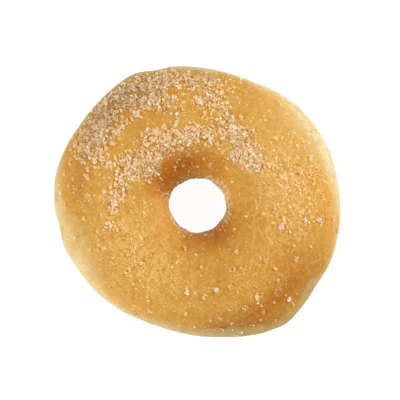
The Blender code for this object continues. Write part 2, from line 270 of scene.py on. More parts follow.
# A heap of small crystals, which stands for one coarse block: the named inputs of its tree
COARSE_SIZES = {
    "Pieces in a clump": 18, "Smallest": 0.20 * MM, "Largest": 0.46 * MM, "Piece width": 0.8,
    "Piece height": 0.6, "Spread": 0.62, "Lone tightness": 0.25, "Lone growth": 0.4, "Heap height": 0.60,
    "Side flatness": 0.3, "Side sink": 0.20 * MM, "Side shrink": 0.4, "Tumble": 0.6, "Chip": 0.12 * MM,
}
# How much wider the widest grains are than the slimmest
WIDEST_GRAIN = 1.4
# Noise that chips the grains' corners: spacing, gain, and the seed for the heaps
CHIP_SPACING = 0.22 * MM
CHIP_GAIN = 4.0
HEAP_CHIP_SEED = 4.0
# Seeds of the grains' random numbers; the leans and the steps also use the next ones
SEEDS = {"length": 1, "lean": 2, "spin": 4, "width": 5, "tint": 9, "step": 10, "second step": 20, "piece": 30}


def shade(red, green, blue):
    """A linear colour from the three levels, out of 255, of a screen colour."""
    return tuple((level / 255) ** 2.2 for level in (red, green, blue)) + (1.0,)


GOLDEN = shade(216, 161, 78)
DEEP_GOLDEN = shade(208, 147, 61)
LIGHT_GOLDEN_AND_PAINTED_LIGHT = shade(233, 184, 106)
BROWN_AND_SHADE = shade(180, 103, 32)
YELLOW_CREAM = shade(226, 196, 128)
CREAM = shade(225, 209, 170)
HOLE_CREAM_AND_LIGHT = shade(255, 220, 160)
CREAM_SUGAR = shade(255, 230, 176)
TAN_AND_SHADE = shade(188, 158, 94)
HONEY = shade(212, 163, 94)
FOLD_SHADE_BROWN = shade(150, 100, 40)
MILK = shade(238, 204, 160)
# A darker copy of the milky sugar film: painted shade where the browner patches stand for shade
PAINTED_SHADE_MILK = shade(180, 152, 116)
# Colours for the gaps between sugar clots and the glaze's pits: painted shade, darker still in the browner
# patches
DARK_GAP_SHADE = shade(158, 128, 88)
PIT_AND_GAP_SHADE = shade(166, 118, 52)
RIM_SHADE_BROWN = shade(104, 66, 32)
SUGAR_WHITE = shade(255, 240, 200)
SUGAR_CREAM = shade(250, 197, 134)
# Warm painted shade for the grains' steep faces
SUGAR_SIDE_SHADE = shade(224, 168, 98)
SUGAR_AMBER = shade(255, 208, 122)
AMBER = shade(240, 184, 92)
# Light amber of melted sugar, also painted highlight on the glaze's ridges
LIGHT_AMBER_AND_HIGHLIGHT = shade(250, 203, 118)

# How strongly each mark colours the crust, and the levels between which some set in
CRUST_SHARES = {
    "glaze": 0.5, "pit": 0.35, "speckle": 0.6, "stray speckle": 0.07, "ridge": 0.5, "thread": 0.6,
    "pore": 0.50, "streak": 0.60, "gap": 0.68, "clot": 0.40, "caked": 0.04, "caked brown": 0.30,
}
CREAM_LEVELS = (0.65, 1.0)
CREAM_CLOUD_LEVELS = (0.22, 0.52)
TAN_CLOUD_LEVELS = (0.20, 0.62)
FILM_LEVELS = (0.22, 0.60)
CAKED_LEVELS = (0.65, 1.0)
# The crust's roughness and how much it varies, its gloss and the light that passes under it, and its bumps
CRUST_ROUGHNESS = (0.42, 0.2)
CRUST_FINISH = {"Specular IOR Level": 0.04, "Subsurface Weight": 0.10, "Subsurface Scale": 0.8 * MM,
                "Subsurface Radius": (1.0, 0.55, 0.25)}
CRUST_BUMP = 0.05 * MM
BUMP_SHARES = {"thread": 0.5, "speckle": 0.7, "pit": 0.5, "pore": 0.8}
# The same for the sugar grains
GRAIN_SHARES = {
    "cloud": 0.6, "steep": 0.6, "brown": 0.8, "rim": 0.8, "thin": 0.85, "thin tint": 0.35,
    "thin brown": 0.6,
}
UPWARD_LEVELS = (0.15, 0.85)
SIDE_LEVELS = (0.0, 0.5)
THIN_LEVELS = (0.10, 0.75)
GRAIN_ROUGHNESS_SPREAD = 0.15
GRAIN_BUMP = 0.01 * MM
DRY_ROUGHNESS = 0.35
MELTED_ROUGHNESS = 0.25

# Camera: how far above the ring's widest line, the lens, and the picture's middle on the ring
CAMERA_RISE = 478.5 * MM
CAMERA_LENS = 200.0
PICTURE_MIDDLE = Vector((0.150, 0.527, 0.0)) * MM

# Softboxes: name, azimuth and elevation in degrees, power in watts, side of the square
SOFTBOX_REACH = 0.6
SOFTBOXES = (("key_softbox", 27, 34, 3.6, 0.50), ("fill_softbox", 207, 34, 3.1, 0.50))
ROOM_LIGHT = 0.145
FLOOR_SIDE = 2.0
FLOOR_COLOUR = (0.12, 0.12, 0.12, 1.0)
FLOOR_GLOW = 0.94
FLOOR_ROUGHNESS = 0.9
WHITE = (1.0, 1.0, 1.0, 1.0)
VIEW_DEPTH = 10.0


class Field:
    """A number that varies over a surface: arithmetic on it lays down math nodes in its tree."""

    def __init__(self, tree, socket):
        self.tree = tree
        self.socket = socket

    def __add__(self, other):
        return maths("ADD", self, other)

    def __sub__(self, other):
        return maths("SUBTRACT", self, other)

    def __rsub__(self, other):
        return maths("SUBTRACT", other, self)

    def __mul__(self, other):
        return maths("MULTIPLY", self, other)

    def __truediv__(self, other):
        return maths("DIVIDE", self, other)

    def __rtruediv__(self, other):
        return maths("DIVIDE", other, self)

    def __neg__(self):
        return maths("MULTIPLY", self, -1.0)

    def __abs__(self):
        return maths("ABSOLUTE", self)

    __radd__ = __add__
    __rmul__ = __mul__


# What the math nodes do, for plain numbers
PLAIN_MATHS = {
    "COSINE": math.cos, "SINE": math.sin, "ARCTAN2": math.atan2, "EXPONENT": math.exp, "SQRT": math.sqrt,
    "POWER": pow, "MINIMUM": min, "MAXIMUM": max,
    "SIGN": lambda value: math.copysign(1.0, value),
    "GREATER_THAN": lambda value, limit: float(value > limit),
    "WRAP": lambda value, high, low: (value - low) % (high - low) + low,
}


def feed(tree, socket, value):
    """Gives a node's input a field, another node's output, or a plain value."""
    if isinstance(value, Field):
        value = value.socket
    if isinstance(value, bpy.types.NodeSocket):
        tree.links.new(value, socket)
    else:
        socket.default_value = value


def maths(operation, *values):
    """One step of arithmetic: done at once on plain numbers, and by a math node on fields."""
    tree = next((value.tree for value in values if isinstance(value, Field)), None)
    if tree is None:
        return PLAIN_MATHS[operation](*values)
    node = tree.nodes.new("ShaderNodeMath")
    node.operation = operation
    for socket, value in zip(node.inputs, values):
        feed(tree, socket, value)
    return Field(tree, node.outputs[0])


def add_node(tree, kind, settings=None, **inputs):
    """A new node with its settings made and its inputs fed; an input's spaces are written as underscores."""
    node = tree.nodes.new(kind)
    for name, value in (settings or {}).items():
        setattr(node, name, value)
    for name, value in inputs.items():
        feed(tree, node.inputs[name.replace("_", " ")], value)
    return node


def smooth_step(value, low, high):
    """Rises smoothly from 0 at low to 1 at high."""
    share = maths("MINIMUM", 1.0, maths("MAXIMUM", 0.0, (value - low) / (high - low)))
    return share * share * (3.0 - 2.0 * share)


def waves(bearing, rows):
    """The rise of a few waves round the ring."""
    return sum(rise * maths("COSINE", (bearing - math.radians(peak)) * lobes) for lobes, rise, peak in rows)


def swells(bearing, rows):
    """The rise of local swells round the ring."""
    total = 0.0
    for at, reach, rise in rows:
        apart = maths("WRAP", bearing - math.radians(at), math.pi, -math.pi) / math.radians(reach)
        total = total + rise * maths("EXPONENT", -(apart * apart))
    return total


def lumps(bearing, turn):
    """The rise of the wide lumps, which die away at the ring's widest and the hole's narrowest line."""
    total = 0.0
    for lobes, folds, rise, phase in LUMPS:
        round_ring = maths("COSINE", bearing * lobes + math.radians(phase))
        total = total + rise * round_ring * maths("SINE", turn * folds)
    return total


def patch_value(x, y, rows):
    """The sum of soft oval patches, laid along the ring, at a place seen from above."""
    bearing = maths("ARCTAN2", y, x)
    radius = maths("SQRT", x * x + y * y)
    total = 0.0
    for at, middle, half_length, half_width, strength in rows:
        along = maths("WRAP", bearing - math.radians(at), math.pi, -math.pi) * (middle / half_length)
        across = (radius - middle) / half_width
        total = total + strength * maths("EXPONENT", -(along * along + across * across))
    return total


def tube_section(turn, half_width, lip, size):
    """How far out from the tube's middle, and how high above the widest line, the crust is at a turn."""
    outwards, upwards = maths("COSINE", turn), maths("SINE", turn)
    outside, above = maths("GREATER_THAN", outwards, 0.0), maths("GREATER_THAN", upwards, 0.0)
    slope, shoulder = size["Slope squareness"], size["Shoulder squareness"]
    power = 2.0 / (slope + outside * (shoulder - slope))
    out = maths("SIGN", outwards) * maths("POWER", abs(outwards), power) * half_width
    below = size["Under drop"] + size["Under settle"]
    rise = below + above * (size["Top rise"] - below)
    height = maths("SIGN", upwards) * maths("POWER", abs(upwards), power) * rise
    edge, fade = size["Band edge"], size["Band fade"]
    off_band = smooth_step(abs(turn), edge - fade, edge + fade)
    return out - lip * outwards * outside * off_band, height


def outline_reach(bearing, size):
    """How far the ring's outline is from its middle."""
    return size["Ring radius"] + waves(bearing, RING_WAVES) + swells(bearing, KNOCKS)


def crust_point(bearing, turn, size):
    """The place of the crust at a bearing and a turn, with its underside pressed flat at z = 0."""
    across, along = maths("COSINE", bearing), maths("SINE", bearing)
    reach = outline_reach(bearing, size)
    hole = size["Hole radius"] + waves(bearing, HOLE_WAVES)
    outside = (reach * across, reach * along)
    inside = (HOLE_OFFSET.x + hole * across, HOLE_OFFSET.y + hole * along)
    half = [(far - near) * 0.5 for far, near in zip(outside, inside)]
    half_width = maths("SQRT", half[0] * half[0] + half[1] * half[1])
    lip = size["Band lip"] + swells(bearing, LIP_SWELLS)
    out, height = tube_section(turn, half_width, lip, size)
    lump = lumps(bearing, turn)
    share = out / half_width
    side_lump = lump * maths("COSINE", turn)
    x = (outside[0] + inside[0]) * 0.5 + half[0] * share + across * side_lump
    y = (outside[1] + inside[1]) * 0.5 + half[1] * share + along * side_lump
    top_share = smooth_step(maths("SINE", turn), *DENT_SINES)
    z = size["Under drop"] + height + lump * maths("SINE", turn) - top_share * patch_value(x, y, DENTS)
    return x, y, maths("MAXIMUM", 0.0, z)


def crust_frame(bearing, turn):
    """The crust's point and its outward normal at a bearing and a turn."""
    point = Vector(crust_point(bearing, turn, RING_SIZES))
    along = Vector(crust_point(bearing + NORMAL_STEP, turn, RING_SIZES)) - point
    over = Vector(crust_point(bearing, turn + NORMAL_STEP, RING_SIZES)) - point
    return point, along.cross(over).normalized()


def turn_on_top(bearing, radius):
    """The turn, on the top of the ring, whose crust point lies at a distance from the ring's middle."""
    low, high = 0.0, math.pi
    for _ in range(HALVINGS):
        turn = (low + high) / 2
        reach = crust_frame(bearing, turn)[0].to_2d().length
        low, high = (turn, high) if reach > radius else (low, turn)
    return turn


def coarse_places(draw):
    """Point, normal and length of the coarse crystals: the lone ones, then the rest by the patches."""
    places = []
    for bearing, radius, length in LONE_CRYSTALS:
        bearing = math.radians(bearing)
        places.append((*crust_frame(bearing, turn_on_top(bearing, radius)), length))
    while len(places) < COARSE_COUNT:
        bearing, turn = draw.uniform(0, math.tau), draw.uniform(-math.pi, math.pi)
        point, normal = crust_frame(bearing, turn)
        share_of_area = point.to_2d().length / RING_SIZES["Ring radius"]
        cover = min(1.0, max(0.0, COARSE_BASE + patch_value(point.x, point.y, COARSE_PATCHES)))
        if draw.random() > share_of_area * cover:
            continue
        in_hole = abs(turn) > math.pi - HOLE_BARE_TURN
        crowded = min((point - other).length for other, _, _ in places) < CRYSTAL_GAP
        if in_hole or crowded or point.z < TABLE_CLEARANCE:
            continue
        share = SIDE_SHARE + (1.0 - SIDE_SHARE) * smooth_step(abs(normal.z), *SIDE_TO_TOP)
        places.append((point, normal, share * draw.uniform(COARSE_SMALLEST, COARSE_LARGEST)))
    return places


def outline_middle():
    """The middle of the box round the ring's outline, which is on the Z axis of the solid's frame."""
    bearings = [math.radians(degrees) for degrees in range(360)]
    xs = [outline_reach(bearing, RING_SIZES) * math.cos(bearing) for bearing in bearings]
    ys = [outline_reach(bearing, RING_SIZES) * math.sin(bearing) for bearing in bearings]
    return Vector(((min(xs) + max(xs)) / 2, (min(ys) + max(ys)) / 2, 0.0))


def new_tree(name, sizes):
    """A tree with a named number socket for each size: the tree, its geometry, and its sizes as fields."""
    tree = bpy.data.node_groups.new(name, "GeometryNodeTree")
    tree.interface.new_socket("Geometry", in_out="INPUT", socket_type="NodeSocketGeometry")
    for name, value in sizes.items():
        kind = "NodeSocketInt" if isinstance(value, int) else "NodeSocketFloat"
        tree.interface.new_socket(name, in_out="INPUT", socket_type=kind).default_value = value
    tree.interface.new_socket("Geometry", in_out="OUTPUT", socket_type="NodeSocketGeometry")
    entry = tree.nodes.new("NodeGroupInput")
    return tree, entry.outputs["Geometry"], {name: Field(tree, entry.outputs[name]) for name in sizes}


def named_value(tree, name):
    """A number stored on the surface under a name, in a geometry tree."""
    node = add_node(tree, "GeometryNodeInputNamedAttribute", {"data_type": "FLOAT"}, Name=name)
    return Field(tree, node.outputs["Attribute"])


def store(tree, geometry, name, value, domain="POINT"):
    """Stores a number on the surface under a name, and returns the geometry that carries it."""
    node = add_node(tree, "GeometryNodeStoreNamedAttribute", {"data_type": "FLOAT", "domain": domain},
                    Geometry=geometry, Name=name, Value=value)
    return node.outputs["Geometry"]


def parts_of(tree, vector):
    """The three numbers of a vector."""
    parts = add_node(tree, "ShaderNodeSeparateXYZ", Vector=vector)
    return [Field(tree, parts.outputs[axis]) for axis in "XYZ"]


def place_of(tree):
    """The three coordinates of a surface's own points."""
    return parts_of(tree, add_node(tree, "GeometryNodeInputPosition").outputs["Position"])


def normal_of(tree):
    """The outward direction of a surface."""
    return add_node(tree, "GeometryNodeInputNormal").outputs["Normal"]


def noise_node(tree, spacing, detail=2.0, seed=0.0):
    """Smooth noise whose lumps are about a spacing apart, on the piece's own coordinates."""
    node = add_node(tree, "ShaderNodeTexNoise", {"noise_dimensions": "4D"}, W=seed, Scale=1.0 / spacing,
                    Detail=detail, Roughness=NOISE_ROUGHNESS)
    if tree.bl_idname == "ShaderNodeTree":
        place = add_node(tree, "ShaderNodeTexCoord").outputs["Object"]
        feed(tree, node.inputs["Vector"], place)
    return node


def noise(tree, spacing, detail=2.0, seed=0.0):
    """Smooth noise from 0 to 1."""
    return Field(tree, noise_node(tree, spacing, detail, seed).outputs["Fac"])


def pattern(tree, name):
    """One of the named noise patterns, from 0 to 1."""
    return noise(tree, *PATTERNS[name][:3])


def spots(tree, name):
    """One of the named patterns as spots: 0 between them, 1 inside."""
    return smooth_step(pattern(tree, name), *PATTERNS[name][3:])


def thin_lines(field, half_width):
    """Thin lines where a noise pattern passes its middle."""
    return 1.0 - smooth_step(abs(field - 0.5), 0.0, half_width)


def combine(tree, x, y, z):
    """A vector of three numbers."""
    return add_node(tree, "ShaderNodeCombineXYZ", X=x, Y=y, Z=z).outputs["Vector"]


def scaled(tree, vector, length):
    """A vector times a number."""
    node = add_node(tree, "ShaderNodeVectorMath", {"operation": "SCALE"}, Vector=vector, Scale=length)
    return node.outputs["Vector"]


def move(tree, geometry, **inputs):
    """Moves the points of a geometry."""
    return add_node(tree, "GeometryNodeSetPosition", Geometry=geometry, **inputs).outputs["Geometry"]


def keep_above_table(tree, geometry):
    """Lifts what lies below z = 0 to it."""
    x, y, z = place_of(tree)
    return move(tree, geometry, Position=combine(tree, x, y, maths("MAXIMUM", 0.0, z)))


def finish_tree(tree, geometry, material):
    """Ends a tree: nothing below the table, instances made real, and the piece's material set."""
    real = add_node(tree, "GeometryNodeRealizeInstances", Geometry=keep_above_table(tree, geometry))
    dressed = add_node(tree, "GeometryNodeSetMaterial", Geometry=real.outputs["Geometry"], Material=material)
    feed(tree, tree.nodes.new("NodeGroupOutput").inputs["Geometry"], dressed.outputs["Geometry"])


def apply_tree(obj, tree, values):
    """Runs a tree on an object with the given sizes, and keeps the result as the object's plain mesh."""
    modifier = obj.modifiers.new(tree.name, "NODES")
    modifier.node_group = tree
    for item in tree.interface.items_tree:
        if item.in_out == "INPUT" and item.name in values:
            modifier[item.identifier] = values[item.name]
    evaluated = obj.evaluated_get(bpy.context.evaluated_depsgraph_get())
    mesh = bpy.data.meshes.new_from_object(evaluated)
    obj.modifiers.remove(modifier)
    obj.data = mesh
    mesh.name = obj.name


def pale_share(tree, bearing, turn):
    """How far the crust has stayed pale: along the band at the widest line, and inside the hole, where it is
    partly painted light.
    """
    below = maths("GREATER_THAN", -turn, 0.0)
    edge = PALE_TURN + swells(bearing, PALE_SWELLS) * (1.0 - SWELL_LOSS_BELOW * below)
    fade = PALE_FADE + swells(bearing, SOFT_SWELLS) * (1.0 - SOFT_LOSS_BELOW * below)
    wander = (pattern(tree, "band wander") - 0.5) * PALE_WANDER
    wander = wander + (pattern(tree, "band fray") - 0.5) * fade * PALE_FRAY
    lower_edge = (pattern(tree, "lower edge") - LOWER_LEVEL) * LOWER_WANDER * below
    fade = fade + below * EXTRA_FADE_BELOW
    off_band = abs(turn) + wander
    band = 1.0 - smooth_step(off_band + lower_edge, edge - fade, edge + fade)
    hole_edge = HOLE_PALE_TURN + swells(bearing, HOLE_PALE_AND_LIGHT_SWELLS)
    in_hole = 1.0 - smooth_step(math.pi - off_band, hole_edge - HOLE_PALE_FADE, hole_edge + HOLE_PALE_FADE)
    return maths("MINIMUM", 1.0, band + HOLE_PALE_STRENGTH * in_hole)


def cream_share(bearing, turn):
    """How cream the pale band is, by bearing and near its widest line."""
    at_edge = EDGE_CREAM * (1.0 - smooth_step(turn, *EDGE_CREAM_TURNS))
    return maths("MINIMUM", 1.0, swells(bearing, CREAM_SWELLS) + at_edge)


def brown_shade_and_light_share(tree, x, y):
    """How much browner than golden the crust is, or lighter where it is below 0: partly real browning, partly
    painted shade and painted light.
    """
    mottle = pattern(tree, "browning") - 0.5
    return maths("MAXIMUM", -1.0, patch_value(x, y, BROWN_SHADE_AND_LIGHT_PATCHES) + BROWN_MOTTLE * mottle)


def fold_shade_share(tree, bearing, turn):
    """How much painted shade lies in the crease just above the band, in blotches."""
    off_fold = (turn - FOLD_TURN + (pattern(tree, "fold wander") - 0.5) * FOLD_WANDER) / FOLD_REACH
    blotches = spots(tree, "fold blotches")
    return swells(bearing, FOLD_SWELLS) * blotches * maths("EXPONENT", -(off_fold * off_fold))


def rim_shade_share(tree, bearing, turn):
    """How dark the crust is painted from the hole's waist down, partly shade in the hole and partly fried
    crust, with a ragged upper edge.
    """
    below = maths("GREATER_THAN", -turn, 0.0)
    wander = (pattern(tree, "rim wander") - 0.5) * RIM_WANDER
    off_waist = math.pi - abs(turn) + wander
    start, end = (RIM_REACH * (share + more * below) for share, more in zip(RIM_FADE, RIM_FADE_BELOW))
    return maths("MINIMUM", 1.0, swells(bearing, RIM_SWELLS)) * (1.0 - smooth_step(off_waist, start, end))


def sugar_cover(tree, x, y, z, bearing, turn):
    """How thickly fine sugar lies, from 0 to 1, with the clots and gaps that the patches have."""
    on_top = smooth_step(z, *SUGAR_HEIGHTS)
    at_hole = smooth_step(abs(turn), *HOLE_SUGAR_TURNS)
    at_hole = at_hole * (HOLE_SUGAR + swells(bearing, HOLE_SUGAR_SWELLS))
    near = maths("MAXIMUM", 0.0, on_top * patch_value(x, y, FINE_PATCHES) + at_hole)
    return maths("MINIMUM", 1.0, near * (SUGAR_BETWEEN_CLOTS + SUGAR_IN_CLOTS * spots(tree, "sugar clots")))


def glaze_share(tree, x, y, z):
    """How much half-melted sugar glazes the crust."""
    drifts = 0.5 + 0.5 * spots(tree, "glaze drifts")
    glaze = LEAST_GLAZE + patch_value(x, y, GLAZE_PATCHES) * drifts
    return smooth_step(z, *GLAZE_HEIGHTS) * maths("MINIMUM", 1.0, glaze)


def relief(tree, size, kind):
    """One kind of relief of the crust, by its named spacing and height."""
    detail, seed, level = RELIEF[kind]
    return (noise(tree, size[kind + " spacing"], detail, seed) - level) * size[kind + " height"]


def dough_ring_tree(material):
    """The tree that moves a torus to the ring rule, adds the crust's fine relief and marks its colours."""
    tree, geometry, size = new_tree("dough_ring", RING_SIZES)
    geometry = add_node(tree, "GeometryNodeSubdivideMesh", Mesh=geometry, Level=1).outputs["Mesh"]
    x, y, z = place_of(tree)
    geometry = store(tree, geometry, "bearing", maths("ARCTAN2", y, x))
    torus_turn = maths("ARCTAN2", z, maths("SQRT", x * x + y * y) - TORUS_RADIUS)
    geometry = store(tree, geometry, "turn", torus_turn - OUTSIDE_CROWDING * maths("SINE", torus_turn))
    bearing, turn = named_value(tree, "bearing"), named_value(tree, "turn")
    geometry = move(tree, geometry, Position=combine(tree, *crust_point(bearing, turn, size)))
    x, y, z = place_of(tree)
    ridge_lines = thin_lines(noise(tree, size["Ridge spacing"], *RIDGE_NOISE), RIDGE_WIDTH)
    tan = maths("MINIMUM", 1.0, swells(bearing, TAN_AND_SHADE_SWELLS)) * smooth_step(turn, *TAN_TURNS)
    shares = {
        "pale": pale_share(tree, bearing, turn), "cream": cream_share(bearing, turn), "tan": tan,
        "brown": brown_shade_and_light_share(tree, x, y), "fold": fold_shade_share(tree, bearing, turn),
        "sugar": sugar_cover(tree, x, y, z, bearing, turn), "rim": rim_shade_share(tree, bearing, turn),
        "hole": smooth_step(abs(turn), *HOLE_TURNS),
        "glaze": glaze_share(tree, x, y, z), "ridge": named_value(tree, "glaze") * ridge_lines,
    }
    for name, share in shares.items():
        geometry = store(tree, geometry, name, share)
    wrinkle, pimple, pore, crumb = (relief(tree, size, kind) for kind in RELIEF)
    rough = wrinkle + pimple + pore * named_value(tree, "pale") + crumb * named_value(tree, "hole")
    ridges = named_value(tree, "ridge") * size["Ridge height"]
    geometry = move(tree, geometry, Offset=scaled(tree, normal_of(tree), rough * RELIEF_GAIN + ridges))
    finish_tree(tree, geometry, material)
    return tree


def add_object(name, data):
    """A new object in the scene."""
    new = bpy.data.objects.new(name, data)
    bpy.context.scene.collection.objects.link(new)
    return new


def make_crust():
    """The browned dough ring, as one closed skin."""
    bpy.ops.mesh.primitive_torus_add(major_segments=RING_STEPS, minor_segments=TUBE_STEPS,
                                     major_radius=TORUS_RADIUS, minor_radius=1.0)
    crust = bpy.context.active_object
    crust.name = "fried_crust"
    apply_tree(crust, dough_ring_tree(crust_material()), RING_SIZES)
    crust.data.shade_smooth()
    return crust


def random_number(tree, low, high, seed):
    """A random number for each grain, the same in every run."""
    node = add_node(tree, "FunctionNodeRandomValue", {"data_type": "FLOAT"}, Seed=seed)
    feed(tree, node.inputs[2], low)
    feed(tree, node.inputs[3], high)
    return Field(tree, node.outputs[1])


def crystal_shape(tree):
    """A block of one unit a side."""
    return add_node(tree, "GeometryNodeMeshCube", Size=(1.0, 1.0, 1.0), Vertices_X=2, Vertices_Y=2,
                    Vertices_Z=2).outputs["Mesh"]


def bead_shape(tree):
    """A bead of one unit across."""
    return add_node(tree, "GeometryNodeMeshIcoSphere", Radius=0.5, Subdivisions=1).outputs["Mesh"]


def tumbled(tree, rotation, most):
    """A rotation with a random lean either way, up to the most given, and any spin."""
    leans = [random_number(tree, -most, most, SEEDS["lean"] + axis) for axis in range(2)]
    turn = combine(tree, *leans, random_number(tree, 0.0, math.tau, SEEDS["spin"]))
    return add_node(tree, "FunctionNodeRotateRotation", {"rotation_space": "LOCAL"}, Rotation=rotation,
                    Rotate_By=turn).outputs["Rotation"]


def chipped_grains(tree, grains, depth, seed):
    """Grains with their corners chipped, and each face marked with how much it looks up."""
    jolt = noise_node(tree, CHIP_SPACING, detail=0.0, seed=seed).outputs["Color"]
    centred = add_node(tree, "ShaderNodeVectorMath", {"operation": "SUBTRACT"})
    feed(tree, centred.inputs[0], jolt)
    centred.inputs[1].default_value = (0.5, 0.5, 0.5)
    chipped = move(tree, grains, Offset=scaled(tree, centred.outputs["Vector"], depth * CHIP_GAIN))
    return store(tree, chipped, "upward", parts_of(tree, normal_of(tree))[2], "FACE")


def set_grains(tree, points, shape, **placing):
    """Puts a grain on each point, gives each one a tint of its own, and makes them real."""
    grains = add_node(tree, "GeometryNodeInstanceOnPoints", Points=points, Instance=shape, **placing)
    tint = random_number(tree, 0.0, 1.0, SEEDS["tint"])
    tinted = store(tree, grains.outputs["Instances"], "tint", tint, "INSTANCE")
    return add_node(tree, "GeometryNodeRealizeInstances", Geometry=tinted).outputs["Geometry"]


def grain_tree(name, sizes, make_shape, material):
    """A tree that scatters sugar grains over a skin: thick in the sugared patches, thin elsewhere."""
    tree, skin, size = new_tree(name, sizes)
    z = place_of(tree)[2]
    drifts = smooth_step(noise(tree, size["Drift spacing"], seed=sizes["Seed"]), *DRIFT_LEVELS)
    off_table = maths("GREATER_THAN", z, size["Least height"])
    sugar, glaze, pale = (named_value(tree, attribute) for attribute in ("sugar", "glaze", "pale"))
    amount = size["Scattered"] + glaze * size["In glaze"] + sugar * size["In patches"]
    amount = amount * (1.0 + pale * (size["In band"] - 1.0))
    on_side = 1.0 - smooth_step(abs(parts_of(tree, normal_of(tree))[2]), *SIDE_TO_TOP)
    amount = amount * (1.0 + on_side * (size["Side share"] - 1.0))
    spread = add_node(tree, "GeometryNodeDistributePointsOnFaces", Mesh=skin, Seed=size["Seed"],
                      Density=maths("MAXIMUM", 0.0, amount * drifts * off_table))
    length = random_number(tree, size["Smallest"], size["Largest"], SEEDS["length"])
    proud = scaled(tree, spread.outputs["Normal"], length * size["Proud"])
    points = move(tree, spread.outputs["Points"], Offset=proud)
    slimness = size["Slimness"]
    width = length * random_number(tree, slimness, slimness * WIDEST_GRAIN, SEEDS["width"])
    grains = set_grains(tree, points, make_shape(tree),
                        Rotation=tumbled(tree, spread.outputs["Rotation"], size["Tumble"]),
                        Scale=combine(tree, length, width, length * size["Flatness"]))
    finish_tree(tree, chipped_grains(tree, grains, size["Chip"], sizes["Seed"]), material)
    return tree


def scatter(name, crust, sizes, make_shape, material):
    """One kind of loose sugar, scattered over the crust, as a mesh of its own."""
    piece = add_object(name, crust.data.copy())
    apply_tree(piece, grain_tree(name, sizes, make_shape, material), sizes)
    return piece


def coarse_tree(material):
    """A tree that heaps small crystals where the solid has a coarse block, turned and sized as the block."""
    tree, points, size = new_tree("coarse_crystals", COARSE_SIZES)
    tumble, sides, normal = (
        add_node(tree, "GeometryNodeInputNamedAttribute", {"data_type": "FLOAT_VECTOR"},
                 Name=name).outputs["Attribute"] for name in ("tumble", "sides", "normal"))
    heap = add_node(tree, "GeometryNodeDuplicateElements", {"domain": "POINT"}, Geometry=points,
                    Amount=size["Pieces in a clump"])
    lone, on_side = named_value(tree, "lone"), named_value(tree, "pale")
    spread = size["Spread"] * (1.0 - size["Lone tightness"] * lone)
    off_centre = []
    for number, side in enumerate(parts_of(tree, sides)):
        steps = [random_number(tree, -0.5, 0.5, SEEDS[step] + number) for step in ("step", "second step")]
        off_centre.append((steps[0] + steps[1]) * side * spread)
    turned = add_node(tree, "FunctionNodeRotateVector", Vector=combine(tree, *off_centre), Rotation=tumble)
    lift = add_node(tree, "ShaderNodeVectorMath", {"operation": "DOT_PRODUCT"})
    feed(tree, lift.inputs[0], turned.outputs["Vector"])
    feed(tree, lift.inputs[1], normal)
    flattening = size["Heap height"] - 1.0 - size["Side flatness"] * on_side
    sink = Field(tree, lift.outputs["Value"]) * flattening - on_side * size["Side sink"]
    pieces = move(tree, heap.outputs["Geometry"], Offset=turned.outputs["Vector"])
    pieces = move(tree, pieces, Offset=scaled(tree, normal, sink))
    growth = 1.0 - size["Side shrink"] * on_side + size["Lone growth"] * lone
    length = random_number(tree, size["Smallest"], size["Largest"], SEEDS["piece"]) * growth
    upright = add_node(tree, "FunctionNodeAlignRotationToVector", {"axis": "Z"}, Vector=normal)
    sizes = combine(tree, length, length * size["Piece width"], length * size["Piece height"])
    grains = set_grains(tree, pieces, crystal_shape(tree), Scale=sizes,
                        Rotation=tumbled(tree, upright.outputs["Rotation"], size["Tumble"]))
    finish_tree(tree, chipped_grains(tree, grains, size["Chip"], HEAP_CHIP_SEED), material)
    return tree


def make_coarse_crystals(material):
    """The coarse crystals, each where the solid has one, as long, as wide and turned the same way."""
    draw = random.Random(SEED)
    points, tumbles, sides, normals = [], [], [], []
    shares = {"sugar": [], "pale": [], "brown": [], "lone": []}
    for point, normal, length in coarse_places(draw):
        points.append(point + normal * length * CRYSTAL_PROUD)
        normals.append(normal)
        lone = length > LONE_LENGTH
        shares["lone"].append(float(lone))
        for name, rows, of_lone in (("sugar", COARSE_PATCHES, LONE_SUGAR), ("brown", BROWN_SHADE_AND_LIGHT_PATCHES, 0.0)):
            shares[name].append(of_lone if lone else max(0.0, patch_value(point.x, point.y, rows)))
        shares["pale"].append(1.0 - smooth_step(abs(normal.z), *SIDE_TO_TOP_TINT))
        sides.append([length] + [length * draw.uniform(CRYSTAL_FLATNESS, 1.0) for _ in range(2)])
        tumbles.append([draw.uniform(0, math.tau) for _ in range(3)])
    mesh = bpy.data.meshes.new("coarse_crystals")
    mesh.from_pydata(points, [], [])
    for name, rows in (("tumble", tumbles), ("sides", sides), ("normal", normals)):
        layer = mesh.attributes.new(name, "FLOAT_VECTOR", "POINT")
        layer.data.foreach_set("vector", [number for row in rows for number in row])
    for name, values in shares.items():
        mesh.attributes.new(name, "FLOAT", "POINT").data.foreach_set("value", values)
    crystals = add_object("coarse_crystals", mesh)
    apply_tree(crystals, coarse_tree(material), COARSE_SIZES)
    return crystals


def mix(tree, share, first, second):
    """A colour between two others."""
    node = add_node(tree, "ShaderNodeMix", {"data_type": "RGBA"})
    feed(tree, node.inputs[0], share)
    feed(tree, node.inputs[6], first)
    feed(tree, node.inputs[7], second)
    return node.outputs[2]


def layered(tree, colour, layers):
    """A colour under layers of other colours, each laid on by its share."""
    for share, over in layers:
        colour = mix(tree, share, colour, over)
    return colour


def surface_values(tree, *names):
    """Numbers stored on the surface under names, in a material."""
    return [Field(tree, add_node(tree, "ShaderNodeAttribute", {"attribute_name": name}).outputs["Fac"])
            for name in names]


def new_material(name, colour):
    """A material with its shader and tree at hand."""
    material = bpy.data.materials.new(name)
    material.use_nodes = True
    material.diffuse_color = colour
    return material, material.node_tree, material.node_tree.nodes["Principled BSDF"]


